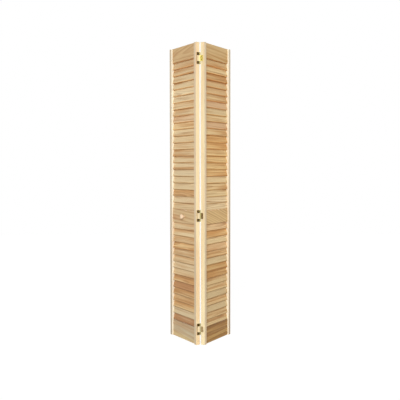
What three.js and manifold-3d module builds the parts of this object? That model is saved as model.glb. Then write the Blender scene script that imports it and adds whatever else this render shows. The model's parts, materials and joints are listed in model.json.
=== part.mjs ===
// Bifold closet door: two louvred wooden panels, hinged together at their inner stiles.
// Lengths are in millimetres and angles in degrees. +Z is up, and the door's front faces -Y.
// The origin is at floor level, in the middle of the standing door's bounding box.

import * as THREE from 'three';
import { mergeVertices } from 'three/addons/utils/BufferGeometryUtils.js';
import Module from 'manifold-3d';

// The door as a whole
const doorHeight = 2000.25;
const doorWidth = 704.85;
const panelThickness = 28.575;
const panelGap = 2;
const restFoldAngle = 58.2;

// Clearances
const fitGap = 0.3;
const overrun = 1;

// Stiles and rails
const stileWidth = 27;
const stileEdgeEase = 1.5;
const railThickness = 11.1;
const topRailHeight = 98.4;
const middleRailHeight = 88.9;
const middleRailCentre = 846;
const bottomRailHeight = 110.9;

// Louvre slats: each is tilted with its lower edge forward and sits in mortises in the stiles.
// They lie behind the middle of the stiles, and the top slat of an opening passes behind the rail above it.
const slatWidth = 50.8;
const slatThickness = 6.35;
const slatTiltAngle = 14;
const slatSpacing = 46;
const slatSeat = 9;
const slatRailGap = 0.5;
const slatRailLap = 3;
const slatSetback = 4;
const slatNoseSteps = 3;

// The hidden strip that ties the slats of one group together, inside the outer stile
const tieStripThickness = 3;
const tieStripDepth = 8;
const upperGroups = 4;
const lowerGroups = 3;

// Dowels between rails and stiles
const dowelRadius = 3.175;
const dowelRailSeat = 30;
const dowelEndWall = 1.2;
const dowelSides = 8;

// Hinges: an outer leaf with a window, an inner leaf that nests in it, and a pin
const hingeHeight = 76.2;
const hingeTabHeight = 18.1;
const hingeLeafThickness = 1.3;
const hingeLeafWidth = 24;
const hingeBarWidth = 4;
const hingeNestGap = 0.8;
const hingeCornerRadius = 3;
const barrelRadius = 3;
const barrelGap = 0.2;
const hingePinRadius = 1.4;
const hingePinHeadRadius = 2.3;
const hingePinHeadHeight = 0.9;
const barrelSides = 12;
const topHingeDrop = 104.2;
const middleHingeCentre = 860.1;
const bottomHingeCentre = 103.8;

// Hinge screws, countersunk flush with the leaves
const screwHeadRadius = 3.1;
const screwShankRadius = 1.6;
const screwLength = 12;
const screwTipLength = 3;
const screwSides = 8;
const innerScrewHeightShare = 0.27;

// Knob and the screw that holds it from behind
const knobRadius = 15.875;
const knobNeckRadius = 7;
const knobBaseRadius = 9.5;
const knobProjection = 27;
const knobBoreDepth = 15;
const knobSides = 20;
const knobScrewRadius = 2.1;
const knobScrewHeadRadius = 4.6;
const knobScrewHeadHeight = 2.4;
const knobScrewReach = 13;
const knobBaseHeightShares = [0, 0.1, 0.22];
const knobHeadHeightShares = [0.34, 0.42, 0.52, 0.64, 0.76, 0.88, 0.96];
const knobHeadRadiusShares = [0.55, 0.8, 0.95, 1, 0.95, 0.76, 0.46];

// Sizes that follow
const panelWidth = (doorWidth - panelGap) / 2;
const outerJoint = panelWidth - stileWidth;
const railRecess = (panelThickness - railThickness) / 2;
const panelMiddle = panelThickness / 2;
const slatMiddle = panelMiddle + slatSetback;
const middleRailBottom = middleRailCentre - middleRailHeight / 2;
const middleRailTop = middleRailCentre + middleRailHeight / 2;
const topRailBottom = doorHeight - topRailHeight;
const pinSetback = barrelRadius + barrelGap;
const innerLeafHeight = hingeHeight - 2 * hingeTabHeight - 2 * hingeNestGap;
const innerLeafWidth = hingeLeafWidth - hingeBarWidth - hingeNestGap;
const leafSeat = panelGap / 2 - fitGap;
const leafFace = leafSeat - hingeLeafThickness;
const screwReach = screwLength - fitGap - hingeLeafThickness;
const dowelStileSeat = stileWidth - screwReach - 2 * fitGap - dowelEndWall;
const hingeCentres = {
  top: doorHeight - topHingeDrop,
  middle: middleHingeCentre,
  bottom: bottomHingeCentre,
};

const wasm = await Module();
wasm.setup();

const wood = (name, color) => new THREE.MeshStandardMaterial({ name, color, roughness: 0.6, metalness: 0 });
const metal = (name, color) => new THREE.MeshStandardMaterial({ name, color, roughness: 0.35, metalness: 1 });
const stilePine = wood('stile_pine', 0xf0d6a8);
const railPine = wood('rail_pine', 0xcba878);
const slatPine = wood('slat_pine', 0xcda97c);
const knobWood = wood('knob_wood', 0xe6c3a2);
const dowelWood = wood('dowel_wood', 0xd8b98c);
const hingeBrass = metal('hinge_brass', 0x9a7d3c);
const screwBrass = metal('screw_brass', 0x8f7a45);

// Turns a closed three.js geometry into a solid that can be joined and cut.
function solid(geometry) {
  const bare = geometry.clone();
  bare.deleteAttribute('normal');
  bare.deleteAttribute('uv');
  const merged = mergeVertices(bare);
  return new wasm.Manifold(new wasm.Mesh({
    numProp: 3,
    vertProperties: new Float32Array(merged.attributes.position.array),
    triVerts: new Uint32Array(merged.index.array),
  }));
}

// Turns a finished solid into a named three.js mesh.
function piece(name, shape, material) {
  const made = shape.getMesh();
  const geometry = new THREE.BufferGeometry();
  geometry.setAttribute('position', new THREE.BufferAttribute(new Float32Array(made.vertProperties), 3));
  geometry.setIndex(new THREE.BufferAttribute(new Uint32Array(made.triVerts), 1));
  geometry.computeVertexNormals();
  const mesh = new THREE.Mesh(geometry, material);
  mesh.name = name;
  return mesh;
}

// A panel is drawn shut, from the hinge pin's axis. Side is -1 for the left panel and 1 for the right.
// Along runs from the hinge edge to the outer edge, and depth runs from the front face to the back.
const acrossAt = (side, along) => side * (panelGap / 2 + along);
const depthAt = (depth) => depth - panelThickness - pinSetback;

function block(side, along, depth, height) {
  const ends = along.map((value) => acrossAt(side, value));
  const size = [Math.abs(ends[1] - ends[0]), depth[1] - depth[0], height[1] - height[0]];
  const geometry = new THREE.BoxGeometry(...size);
  const middle = (pair) => (pair[0] + pair[1]) / 2;
  geometry.translate(middle(ends), depthAt(middle(depth)), middle(height));
  return solid(geometry);
}

// Extrudes an outline of depth and height along the panel, between two places on it.
function extrudedAlong(side, outline, along) {
  const ends = along.map((value) => acrossAt(side, value));
  const geometry = new THREE.ExtrudeGeometry(outline, {
    depth: Math.abs(ends[1] - ends[0]),
    bevelEnabled: false,
  });
  const turn = new THREE.Matrix4().makeBasis(
    new THREE.Vector3(0, 1, 0),
    new THREE.Vector3(0, 0, 1),
    new THREE.Vector3(1, 0, 0),
  );
  geometry.applyMatrix4(turn);
  geometry.translate(Math.min(...ends), 0, 0);
  return solid(geometry);
}

// A round bar along the panel, between two places on it.
function rod(side, radius, along, depth, height, sides) {
  const ends = along.map((value) => acrossAt(side, value));
  const geometry = new THREE.CylinderGeometry(radius, radius, Math.abs(ends[1] - ends[0]), sides);
  geometry.rotateZ(Math.PI / 2);
  geometry.translate((ends[0] + ends[1]) / 2, depthAt(depth), height);
  return solid(geometry);
}

// A turned shape about the Y axis, from pairs of radius and place on the axis.
function turned(profile, sides) {
  return new THREE.LatheGeometry(profile.map(([radius, place]) => new THREE.Vector2(radius, place)), sides);
}

// The outline of a slat across its length, with round noses, grown by a clearance.
function slatOutline(centreHeight, grown) {
  const radius = slatThickness / 2 + grown;
  const reach = (slatWidth - slatThickness) / 2;
  const tilt = THREE.MathUtils.degToRad(slatTiltAngle);
  const middle = new THREE.Vector2(depthAt(slatMiddle), centreHeight);
  const points = [];
  for (const end of [1, -1]) {
    const nose = new THREE.Vector2(Math.sin(tilt), Math.cos(tilt)).multiplyScalar(end * reach).add(middle);
    for (let step = 0; step <= slatNoseSteps; step += 1) {
      const angle = (Math.PI * step) / slatNoseSteps - tilt + (end < 0 ? Math.PI : 0);
      points.push(new THREE.Vector2(Math.cos(angle), Math.sin(angle)).multiplyScalar(radius).add(nose));
    }
  }
  return new THREE.Shape(points);
}

// Heights of the slats' centres in an opening, from the lowest slat up.
function slatCentres(openingBottom, openingTop) {
  const tilt = THREE.MathUtils.degToRad(slatTiltAngle);
  const rise = (slatWidth - slatThickness) * Math.cos(tilt) + slatThickness;
  const first = openingBottom + slatRailGap + rise / 2;
  const last = openingTop + slatRailLap - rise / 2;
  const count = Math.round((last - first) / slatSpacing) + 1;
  const centres = [];
  for (let index = 0; index < count; index += 1) {
    centres.push(first + ((last - first) * index) / (count - 1));
  }
  return centres;
}

const louvreFields = [
  { name: 'upper', groups: upperGroups, centres: slatCentres(middleRailTop, topRailBottom) },
  { name: 'lower', groups: lowerGroups, centres: slatCentres(bottomRailHeight, middleRailBottom) },
];
const allSlatCentres = louvreFields.flatMap((field) => field.centres);

// Splits a field of slats, from the top down, into groups of nearly equal count.
function slatGroups({ name, groups, centres }) {
  const fromTop = [...centres].reverse();
  const cut = (index) => Math.round((fromTop.length * index) / groups);
  return Array.from({ length: groups }, (_, index) => ({
    name: `${name}_louvres_${index + 1}`,
    centres: fromTop.slice(cut(index), cut(index + 1)),
  }));
}

// The strip sits in the middle of the slats' seated length, between the group's first and last slat.
function tieStrip(side, centres, grown) {
  const middle = outerJoint + slatSeat / 2;
  const halfLength = tieStripThickness / 2 + grown;
  const halfDepth = tieStripDepth / 2 + grown;
  return block(
    side,
    [middle - halfLength, middle + halfLength],
    [slatMiddle - halfDepth, slatMiddle + halfDepth],
    [Math.min(...centres) - grown, Math.max(...centres) + grown],
  );
}

function louvreGroup(side, { name, centres }) {
  const ends = [stileWidth - slatSeat, outerJoint + slatSeat];
  let shape = extrudedAlong(side, slatOutline(centres[0], 0), ends);
  for (const centre of centres.slice(1)) {
    shape = shape.add(extrudedAlong(side, slatOutline(centre, 0), ends));
  }
  if (centres.length > 1) {
    shape = shape.add(tieStrip(side, centres, 0));
  }
  return piece(`${side < 0 ? 'left' : 'right'}_${name}`, shape, slatPine);
}

const rails = [
  { name: 'top_rail', bottom: topRailBottom, top: doorHeight },
  { name: 'middle_rail', bottom: middleRailBottom, top: middleRailTop },
  { name: 'bottom_rail', bottom: 0, top: bottomRailHeight },
];

// Where the dowels lie, as the two ends of each along the panel.
const dowelJoints = [
  { name: 'hinge_side', along: [stileWidth - dowelStileSeat, stileWidth + dowelRailSeat] },
  { name: 'outer_side', along: [outerJoint - dowelRailSeat, outerJoint + dowelStileSeat] },
];

const dowelHole = (side, joint, rail) => rod(
  side,
  dowelRadius + fitGap,
  [joint.along[0] - fitGap, joint.along[1] + fitGap],
  panelMiddle,
  (rail.bottom + rail.top) / 2,
  dowelSides,
);

function railPiece(side, rail) {
  let shape = block(
    side,
    [stileWidth + fitGap, outerJoint - fitGap],
    [railRecess, railRecess + railThickness],
    [rail.bottom, rail.top],
  );
  for (const joint of dowelJoints) {
    shape = shape.subtract(dowelHole(side, joint, rail));
  }
  for (const centre of allSlatCentres.filter((height) => Math.abs(height - rail.bottom) < slatWidth)) {
    shape = shape.subtract(extrudedAlong(side, slatOutline(centre, fitGap), [stileWidth, outerJoint]));
  }
  if (side < 0 && rail.name === 'middle_rail') {
    shape = shape.subtract(knobHole());
  }
  return piece(`${side < 0 ? 'left' : 'right'}_${rail.name}`, shape, railPine);
}

function dowelPieces(side) {
  return rails.flatMap((rail) => dowelJoints.map((joint) => piece(
    `${side < 0 ? 'left' : 'right'}_${rail.name}_dowel_${joint.name}`,
    rod(side, dowelRadius, joint.along, panelMiddle, (rail.bottom + rail.top) / 2, dowelSides),
    dowelWood,
  )));
}

// A full-height board with eased edges, before its mortises and holes are cut.
function stileBoard(side, along) {
  const ends = along.map((value) => acrossAt(side, value));
  const [low, high] = [Math.min(...ends), Math.max(...ends)];
  const [front, back] = [depthAt(0), depthAt(panelThickness)];
  const ease = stileEdgeEase;
  const outline = new THREE.Shape([
    new THREE.Vector2(low + ease, front),
    new THREE.Vector2(high - ease, front),
    new THREE.Vector2(high, front + ease),
    new THREE.Vector2(high, back - ease),
    new THREE.Vector2(high - ease, back),
    new THREE.Vector2(low + ease, back),
    new THREE.Vector2(low, back - ease),
    new THREE.Vector2(low, front + ease),
  ]);
  return solid(new THREE.ExtrudeGeometry(outline, { depth: doorHeight, bevelEnabled: false }));
}

function stilePiece(side, isHingeStile) {
  const along = isHingeStile ? [0, stileWidth] : [outerJoint, panelWidth];
  const mortise = isHingeStile
    ? [stileWidth - slatSeat - fitGap, stileWidth + overrun]
    : [outerJoint - overrun, outerJoint + slatSeat + fitGap];
  let shape = stileBoard(side, along);
  for (const centre of allSlatCentres) {
    shape = shape.subtract(extrudedAlong(side, slatOutline(centre, fitGap), mortise));
  }
  for (const rail of rails) {
    shape = shape.subtract(dowelHole(side, dowelJoints[isHingeStile ? 0 : 1], rail));
  }
  if (isHingeStile) {
    for (const screw of hingeScrews.filter((each) => each.side === side)) {
      shape = shape.subtract(screwPilot(screw));
    }
  } else {
    for (const group of louvreFields.flatMap(slatGroups)) {
      shape = shape.subtract(tieStrip(side, group.centres, fitGap));
    }
  }
  const name = `${side < 0 ? 'left' : 'right'}_${isHingeStile ? 'hinge' : 'outer'}_stile`;
  return piece(name, shape, stilePine);
}

// Hinge screws: two in the tabs of each outer leaf, on the left, and two in each inner leaf.
const hingeScrews = Object.entries(hingeCentres).flatMap(([hinge, centre]) => {
  const tabOffset = (hingeHeight - hingeTabHeight) / 2;
  const innerOffset = innerLeafHeight * innerScrewHeightShare;
  return [
    { side: -1, leaf: 'outer', offset: tabOffset, depth: hingeLeafWidth / 2 },
    { side: 1, leaf: 'inner', offset: innerOffset, depth: innerLeafWidth / 2 },
  ].flatMap(({ side, leaf, offset, depth }) => [
    { place: 'upper', height: centre + offset },
    { place: 'lower', height: centre - offset },
  ].map(({ place, height }) => ({ name: `${hinge}_hinge_${leaf}_screw_${place}`, side, depth, height })));
});

// Places a shape that is drawn with its head at the origin and its tip towards -Y.
function placedScrew(geometry, { side, depth, height }) {
  geometry.rotateZ((side * Math.PI) / 2);
  geometry.translate(side * leafFace, -pinSetback - depth, height);
  return solid(geometry);
}

function screwProfile(grown) {
  const reach = screwLength + grown;
  return [
    [0, -reach],
    [screwShankRadius + grown, screwTipLength - reach],
    [screwShankRadius + grown, -hingeLeafThickness],
    [screwHeadRadius + grown, 0],
  ];
}

const screwPilot = (screw) => placedScrew(turned([...screwProfile(fitGap), [0, 0]], screwSides), screw);
const screwPiece = (screw) => piece(
  screw.name,
  placedScrew(turned([...screwProfile(0), [0, 0]], screwSides), screw),
  screwBrass,
);

// The same hole runs on past the leaf's face, so that the cut is clean.
const screwLeafHole = (screw) => placedScrew(
  turned([...screwProfile(fitGap), [screwHeadRadius + fitGap, overrun], [0, overrun]], screwSides),
  screw,
);

// An upright round bar on the pin's axis.
function barrel(radius, low, high) {
  const geometry = new THREE.CylinderGeometry(radius, radius, high - low, barrelSides);
  geometry.rotateX(Math.PI / 2);
  geometry.translate(0, 0, (low + high) / 2);
  return solid(geometry);
}

// A flat leaf in the gap between the stiles, from an outline of distance before the pin, and height.
function leafPlate(side, outline) {
  const geometry = new THREE.ExtrudeGeometry(outline, { depth: hingeLeafThickness, bevelEnabled: false });
  const turn = new THREE.Matrix4().makeBasis(
    new THREE.Vector3(0, -1, 0),
    new THREE.Vector3(0, 0, 1),
    new THREE.Vector3(-1, 0, 0),
  );
  geometry.applyMatrix4(turn);
  geometry.translate(Math.max(side * leafSeat, side * leafFace), 0, 0);
  return solid(geometry);
}

// A leaf's outline from the pin's axis, with its two far corners cut off.
function leafOutline(width, halfHeight) {
  const far = pinSetback + width;
  const corner = hingeCornerRadius;
  return [
    new THREE.Vector2(0, -halfHeight),
    new THREE.Vector2(far - corner, -halfHeight),
    new THREE.Vector2(far - corner * (1 - Math.SQRT1_2), -halfHeight + corner * (1 - Math.SQRT1_2)),
    new THREE.Vector2(far, -halfHeight + corner),
    new THREE.Vector2(far, halfHeight - corner),
    new THREE.Vector2(far - corner * (1 - Math.SQRT1_2), halfHeight - corner * (1 - Math.SQRT1_2)),
    new THREE.Vector2(far - corner, halfHeight),
    new THREE.Vector2(0, halfHeight),
  ];
}

function outerLeaf(hinge, centre) {
  const halfHeight = hingeHeight / 2;
  const halfWindow = halfHeight - hingeTabHeight;
  const bar = pinSetback + hingeLeafWidth - hingeBarWidth;
  const outline = new THREE.Shape([
    ...leafOutline(hingeLeafWidth, halfHeight),
    new THREE.Vector2(0, halfWindow),
    new THREE.Vector2(bar, halfWindow),
    new THREE.Vector2(bar, -halfWindow),
    new THREE.Vector2(0, -halfWindow),
  ]);
  let shape = leafPlate(-1, outline)
    .add(barrel(barrelRadius, halfWindow, halfHeight))
    .add(barrel(barrelRadius, -halfHeight, -halfWindow))
    .subtract(barrel(hingePinRadius + fitGap, -halfHeight - overrun, halfHeight + overrun));
  shape = shape.translate(0, 0, centre);
  for (const screw of hingeScrews.filter((each) => each.name.startsWith(`${hinge}_hinge_outer`))) {
    shape = shape.subtract(screwLeafHole(screw));
  }
  return piece(`${hinge}_hinge_outer_leaf`, shape, hingeBrass);
}

function innerLeaf(hinge, centre) {
  const halfHeight = innerLeafHeight / 2;
  let shape = leafPlate(1, new THREE.Shape(leafOutline(innerLeafWidth, halfHeight)))
    .add(barrel(barrelRadius, -halfHeight, halfHeight))
    .subtract(barrel(hingePinRadius + fitGap, -halfHeight - overrun, halfHeight + overrun));
  shape = shape.translate(0, 0, centre);
  for (const screw of hingeScrews.filter((each) => each.name.startsWith(`${hinge}_hinge_inner`))) {
    shape = shape.subtract(screwLeafHole(screw));
  }
  return piece(`${hinge}_hinge_inner_leaf`, shape, hingeBrass);
}

// A pin with a flat head at each end, just clear of the barrel.
function hingePin(hinge, centre) {
  const neck = hingeHeight / 2 + fitGap;
  const top = neck + hingePinHeadHeight;
  const geometry = turned([
    [0, -top],
    [hingePinHeadRadius, -top],
    [hingePinHeadRadius, -neck],
    [hingePinRadius, -neck],
    [hingePinRadius, neck],
    [hingePinHeadRadius, neck],
    [hingePinHeadRadius, top],
    [0, top],
  ], barrelSides);
  geometry.rotateX(Math.PI / 2);
  geometry.translate(0, 0, centre);
  return piece(`${hinge}_hinge_pin`, solid(geometry), hingeBrass);
}

// Places a shape that is drawn along Y, from the middle rail's front or back face.
function atKnob(geometry, depth) {
  geometry.translate(acrossAt(-1, panelWidth / 2), depthAt(depth), middleRailCentre);
  return solid(geometry);
}

function knobHole() {
  const radius = knobScrewRadius + fitGap;
  return atKnob(
    new THREE.CylinderGeometry(radius, radius, railThickness + 2 * overrun, barrelSides),
    panelMiddle,
  );
}

function knobPiece() {
  const profile = [
    [0, 0],
    [knobBaseRadius, knobBaseHeightShares[0]],
    [knobBaseRadius, knobProjection * knobBaseHeightShares[1]],
    [knobNeckRadius, knobProjection * knobBaseHeightShares[2]],
    ...knobHeadHeightShares.map((share, index) => [
      knobRadius * knobHeadRadiusShares[index],
      knobProjection * share,
    ]),
    [0, knobProjection],
  ];
  const body = turned(profile, knobSides);
  body.rotateX(Math.PI);
  const radius = knobScrewRadius + fitGap;
  const bore = new THREE.CylinderGeometry(radius, radius, 2 * knobBoreDepth, barrelSides);
  const front = railRecess - fitGap;
  return piece('knob', atKnob(body, front).subtract(atKnob(bore, front)), knobWood);
}

function knobScrewPiece() {
  const geometry = turned([
    [0, -railThickness - knobScrewReach],
    [knobScrewRadius, -railThickness - knobScrewReach],
    [knobScrewRadius, 0],
    [knobScrewHeadRadius, 0],
    [knobScrewHeadRadius, knobScrewHeadHeight / 2],
    [knobScrewHeadRadius / 2, knobScrewHeadHeight],
    [0, knobScrewHeadHeight],
  ], barrelSides);
  return piece('knob_screw', atKnob(geometry, railRecess + railThickness + fitGap), screwBrass);
}

// One panel with what is fixed to it, turned about the pin from shut to its place at rest.
function panel(side) {
  const group = new THREE.Group();
  group.add(stilePiece(side, true));
  group.add(stilePiece(side, false));
  group.add(...rails.map((rail) => railPiece(side, rail)));
  group.add(...dowelPieces(side));
  group.add(...louvreFields.flatMap(slatGroups).map((each) => louvreGroup(side, each)));
  group.add(...hingeScrews.filter((each) => each.side === side).map(screwPiece));
  for (const [hinge, centre] of Object.entries(hingeCentres)) {
    if (side < 0) {
      group.add(outerLeaf(hinge, centre), hingePin(hinge, centre));
    } else {
      group.add(innerLeaf(hinge, centre));
    }
  }
  if (side < 0) {
    group.add(knobPiece(), knobScrewPiece());
  }
  group.rotation.z = side * THREE.MathUtils.degToRad(restFoldAngle);
  return group;
}

const door = new THREE.Group();
door.add(panel(-1), panel(1));

// The pin's axis is drawn at the origin, so the door moves until its bounding box lies evenly about it.
const reach = new THREE.Box3().setFromObject(door, true);
door.position.y = -(reach.min.y + reach.max.y) / 2;

export default door;
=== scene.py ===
"""The looks of a louvred bifold closet door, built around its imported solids.

Lengths are in metres. What is drawn new for a panel is drawn as if the door were shut: the hinge pin's axis
stands at the origin, the front face looks towards -Y, and the panel is then turned to its place at rest.
"""

import json
import math
import random

import bmesh
import bpy
from mathutils import Matrix, Vector


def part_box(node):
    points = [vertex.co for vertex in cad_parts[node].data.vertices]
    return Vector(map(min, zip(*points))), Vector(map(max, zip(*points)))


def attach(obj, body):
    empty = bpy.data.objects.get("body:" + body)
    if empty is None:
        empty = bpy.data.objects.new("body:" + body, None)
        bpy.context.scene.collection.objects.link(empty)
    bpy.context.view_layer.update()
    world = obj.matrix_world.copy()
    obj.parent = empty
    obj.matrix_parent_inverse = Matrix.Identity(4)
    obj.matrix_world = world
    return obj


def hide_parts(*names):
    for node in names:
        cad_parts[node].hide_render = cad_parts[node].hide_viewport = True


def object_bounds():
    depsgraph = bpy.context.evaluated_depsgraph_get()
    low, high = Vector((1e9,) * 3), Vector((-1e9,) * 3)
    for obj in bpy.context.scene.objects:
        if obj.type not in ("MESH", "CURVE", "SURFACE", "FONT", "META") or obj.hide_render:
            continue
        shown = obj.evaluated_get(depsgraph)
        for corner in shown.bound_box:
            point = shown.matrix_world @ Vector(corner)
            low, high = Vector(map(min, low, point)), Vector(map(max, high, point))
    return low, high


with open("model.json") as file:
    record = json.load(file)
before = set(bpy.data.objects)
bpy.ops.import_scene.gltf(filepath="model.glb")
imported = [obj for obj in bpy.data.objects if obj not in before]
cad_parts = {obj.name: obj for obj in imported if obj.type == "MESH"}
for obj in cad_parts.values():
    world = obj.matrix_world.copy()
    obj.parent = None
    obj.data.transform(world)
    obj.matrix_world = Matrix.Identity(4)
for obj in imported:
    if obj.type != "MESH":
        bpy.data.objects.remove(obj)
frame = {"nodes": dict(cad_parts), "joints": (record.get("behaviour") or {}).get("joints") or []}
cad_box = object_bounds()

SIDES = {"left": -1, "right": 1}
HINGES = ("top", "middle", "bottom")
QUARTER_TURN = math.radians(90)
ROUND_SIDES = 32
MERGE_DISTANCE = 1e-6

# The photograph's camera, in its own pixels and metres, and in millimetres for its sensor
PHOTO_WIDTH = 400
FOCAL_PIXELS = 662.06
MIDDLE_ROW = 194.6
CAMERA_DISTANCE = 4.373
EYE_HEIGHT = 1.179
CAMERA_ASIDE = -0.0013
CAMERA_PITCH = math.radians(2.33)
CAMERA_ROLL = math.radians(0.08)
SENSOR_WIDTH = 36

# Light levels, as shares of what makes a white surface white, and each lamp's angles in degrees
SKY_LEVEL = 0.34
KEY_LEVEL = 0.85
KEY_HEIGHT_ANGLE = 18
KEY_SIDE_ANGLE = -7
KEY_SPREAD_ANGLE = 20
FILL_LEVEL = 0.12
FILL_HEIGHT_ANGLE = 18
FILL_SIDE_ANGLE = 48
FILL_SPREAD_ANGLE = 50
BACK_LEVEL = 0.55
BACK_HEIGHT_ANGLE = 4
BACK_SIDE_ANGLE = 180
BACK_SPREAD_ANGLE = 30
WHITE = (1, 1, 1, 1)

# The floor's size and colour, and how much of what is seen of it glows and at what level
FLOOR_SIZE = 14
FLOOR_COLOUR = (0.82, 0.82, 0.82)
FLOOR_GLOW_SHARE = 0.86
FLOOR_GLOW_LEVEL = 1.09

# Slats
SLAT_WIDTH = 0.0508
SLAT_THICKNESS = 0.00635
SLAT_TILT = math.radians(14)
SLAT_SPACING = 0.046
SLAT_NOSE_STEPS = 12
SLAT_BANDS = 6
SLATS_PER_PANEL = 37

# Hinges
HINGE_HEIGHT = 0.0762
TAB_HEIGHT = 0.0181
LEAF_THICKNESS = 0.0013
LEAF_WIDTH = 0.024
BAR_WIDTH = 0.004
NEST_GAP = 0.0008
LEAF_CORNER = 0.003
WINDOW_CORNER = 0.0012
LEAF_EDGE = 0.0002
LEAF_EDGE_STEPS = 2
BARREL_RADIUS = 0.003
BARREL_GAP = 0.0002
PIN_RADIUS = 0.0014
PIN_GAP = 0.0002
PIN_HEAD_RADIUS = 0.0023
PIN_HEAD_HEIGHT = 0.0009
PIN_HEAD_TAPER = 0.7
SEAT_GAP = 0.0003
PANEL_GAP = 0.002

# Screws
SCREW_HEAD_RADIUS = 0.0031
SCREW_SHANK_RADIUS = 0.0016
SCREW_LENGTH = 0.012
SCREW_GAP = 0.0002
SCREW_TIP = 0.003
SCREW_POINT_RADIUS = 0.0004
SCREW_POINT_HEIGHT = 0.0006
SCREW_DOME = 0.00025
SCREW_DOME_STEPS = 4
SLOT_WIDTH = 0.0007
SLOT_LENGTH = 0.0036
SLOT_DEPTH = 0.0007
KNOB_SCREW_HEAD_RADIUS = 0.0046
KNOB_SCREW_RADIUS = 0.0021
KNOB_SCREW_HEAD = 0.0024

# The knob screw's blunt tip, as shares of its radius: how wide its end is, and how high it is
KNOB_SCREW_TIP = (0.8, 0.3)

# The knob screw's head, as shares of its radius and of its height
KNOB_SCREW_DOME = ((1, 0.4), (0.86, 0.75), (0.5, 0.97))

# The length, width and depth of the knob screw's slots, as shares of its head's radius
KNOB_SCREW_SLOTS = (1.1, 0.22, 0.25)

# Knob
KNOB_RADIUS = 0.015875
KNOB_PROJECTION = 0.027
KNOB_SIDES = 72
KNOB_SMOOTH_ANGLE = 40

# The knob's foot and neck, as shares of its radius and of its projection
KNOB_FOOT = ((0.52, 0), (0.54, 0.03), (0.52, 0.09))
KNOB_NECK = ((0.43, 0.15), (0.4, 0.22), (0.43, 0.29))

# The knob's head: the height of its middle and its reach from there, as shares of the projection, the angle
# at which it starts from the neck, and the power that fills it out
KNOB_HEAD_MIDDLE = 0.64
KNOB_HEAD_REACH = 0.36
KNOB_HEAD_START = math.radians(-68)
KNOB_HEAD_POWER = 0.92
KNOB_HEAD_STEPS = 22


def panel_place(side):
    """Where a shut panel's drawing goes at rest."""
    joint = frame["joints"][0]
    pin = Vector(joint["pos_m"])
    fold = -math.radians(joint["range_deg"][0]) / 2
    return Matrix.Translation((pin.x, pin.y, 0)) @ Matrix.Rotation(SIDES[side] * fold, 4, "Z")


def shut_box(side, node):
    """The lowest and highest corner of a CAD node, with its panel shut."""
    back = panel_place(side).inverted()
    points = [back @ v.co for v in frame["nodes"][node].data.vertices]
    low = Vector(min(p[i] for p in points) for i in range(3))
    high = Vector(max(p[i] for p in points) for i in range(3))
    return low, high


# Materials

# How often each noise of the wood changes in a metre, along the grain and across it
BOARD_SWAY = (2.2, 16, 16)
SLAT_SWAY = (1.4, 7, 7)
WOBBLE = (9, 60, 60)
RING_STRENGTH = (1.1, 24, 24)
FIBRE = (22, 1500, 1500)
STREAK = (3, 105, 105)
PATCH = (1.8, 26, 26)

# How far sway and wobble push the rings outwards
SWAY_REACH = 0.022
WOBBLE_REACH = 0.0014

# Shares of a ring's width between which its late wood darkens, and those between which it ends
LATE_START = (0.25, 0.9)
LATE_END = (1.0, 0.92)

# Noise values between which each effect rises, and what it rises from and to where that isn't 0 and 1
LATE_STRENGTH_RAMP = (0.3, 0.7, 0.35, 1.0)
STREAK_RAMP = (0.5, 0.8)
FIBRE_RAMP = (0.3, 0.75, 0.0, 0.14)
ROUGHNESS_RAMP = (0.2, 0.8, 0.52, 0.68)

# How much patches and streaks have to do with where heartwood lies, the noise values between which it rises,
# and how much a board's share of it shifts them
PATCH_SHARE = 0.6
STREAK_SHARE = 0.4
SLAT_HEART_RAMP = (0.6, 0.86)
SLAT_HEART_SHIFT = 0.5
BOARD_HEART_RAMP = (0.62, 0.86)
BOARD_HEART_SHIFT = 0.3

# How squarely a surface looks up or down, where its painted light starts and is full, and how squarely it
# looks the way of a stile's faces, where their painted shade starts and is full
BRINK_LIGHT_RAMP = (0.5, 0.9)
FACE_SHADE_RAMP = (0.8, 0.95)

# Heights between which the painted shade on a stile's faces changes from its low tint to its high one
FACE_SHADE_HEIGHTS = (0.5, 1.1)

# The wood's relief: how high fibres and late wood stand, its strength and depth, and the wood's sheen
FIBRE_RELIEF = 0.7
LATE_RELIEF = 0.5
WOOD_BUMP = (0.35, 0.0003)
WOOD_SPECULAR = 0.35

# How often each noise of the brass changes in a metre, along X, Y and Z
TARNISH = (160, 160, 90)
GRAIN = (1400, 1400, 1400)
SCRATCH = (900, 900, 60)

# Half the width of the step from bright to dulled brass, what grains dull, what patches and scratches
# roughen, and the strength and depth of scratches
WEAR_HALF_WIDTH = 0.14
GRAIN_RAMP = (0.4, 0.8, 0.0, 0.35)
PATCH_ROUGH_RAMP = (0.3, 0.7)
PATCH_ROUGHNESS = 0.16
SCRATCH_RAMP = (0.5, 0.9, 0.0, 0.1)
BRASS_BUMP = (0.15, 0.0001)

# Distances from the hinge pin between which its leaves change colour: to a painted highlight near the pin,
# and to a painted reflection far off
KNUCKLE_HIGHLIGHT_DISTANCES = (0.006, 0.008)
RIM_REFLECTION_DISTANCES = (0.0225, 0.0245)

# A colour mix node's inputs for its share and its two colours, and its output
MIX_INPUTS = (0, 6, 7)
MIX_OUTPUT = 2


def linear(colour):
    """A colour of 0 to 255 as light levels, by the sRGB formula and its own numbers."""
    levels = []
    for part in colour:
        value = part / 255
        levels.append(value / 12.92 if value <= 0.04045 else ((value + 0.055) / 1.055) ** 2.4)
    return (*levels, 1.0)


def add(tree, kind, inputs=None, **settings):
    """A new node with its settings, and its inputs set or linked."""
    made = tree.nodes.new(kind)
    for key, value in settings.items():
        setattr(made, key, value)
    for key, value in (inputs or {}).items():
        if isinstance(value, bpy.types.NodeSocket):
            tree.links.new(value, made.inputs[key])
        else:
            made.inputs[key].default_value = value
    return made


def attribute(tree, name, output):
    """What a mesh's own attribute says."""
    return add(tree, "ShaderNodeAttribute", attribute_name=name).outputs[output]


def maths(tree, operation, *values):
    return add(tree, "ShaderNodeMath", dict(enumerate(values)), operation=operation).outputs[0]


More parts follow.
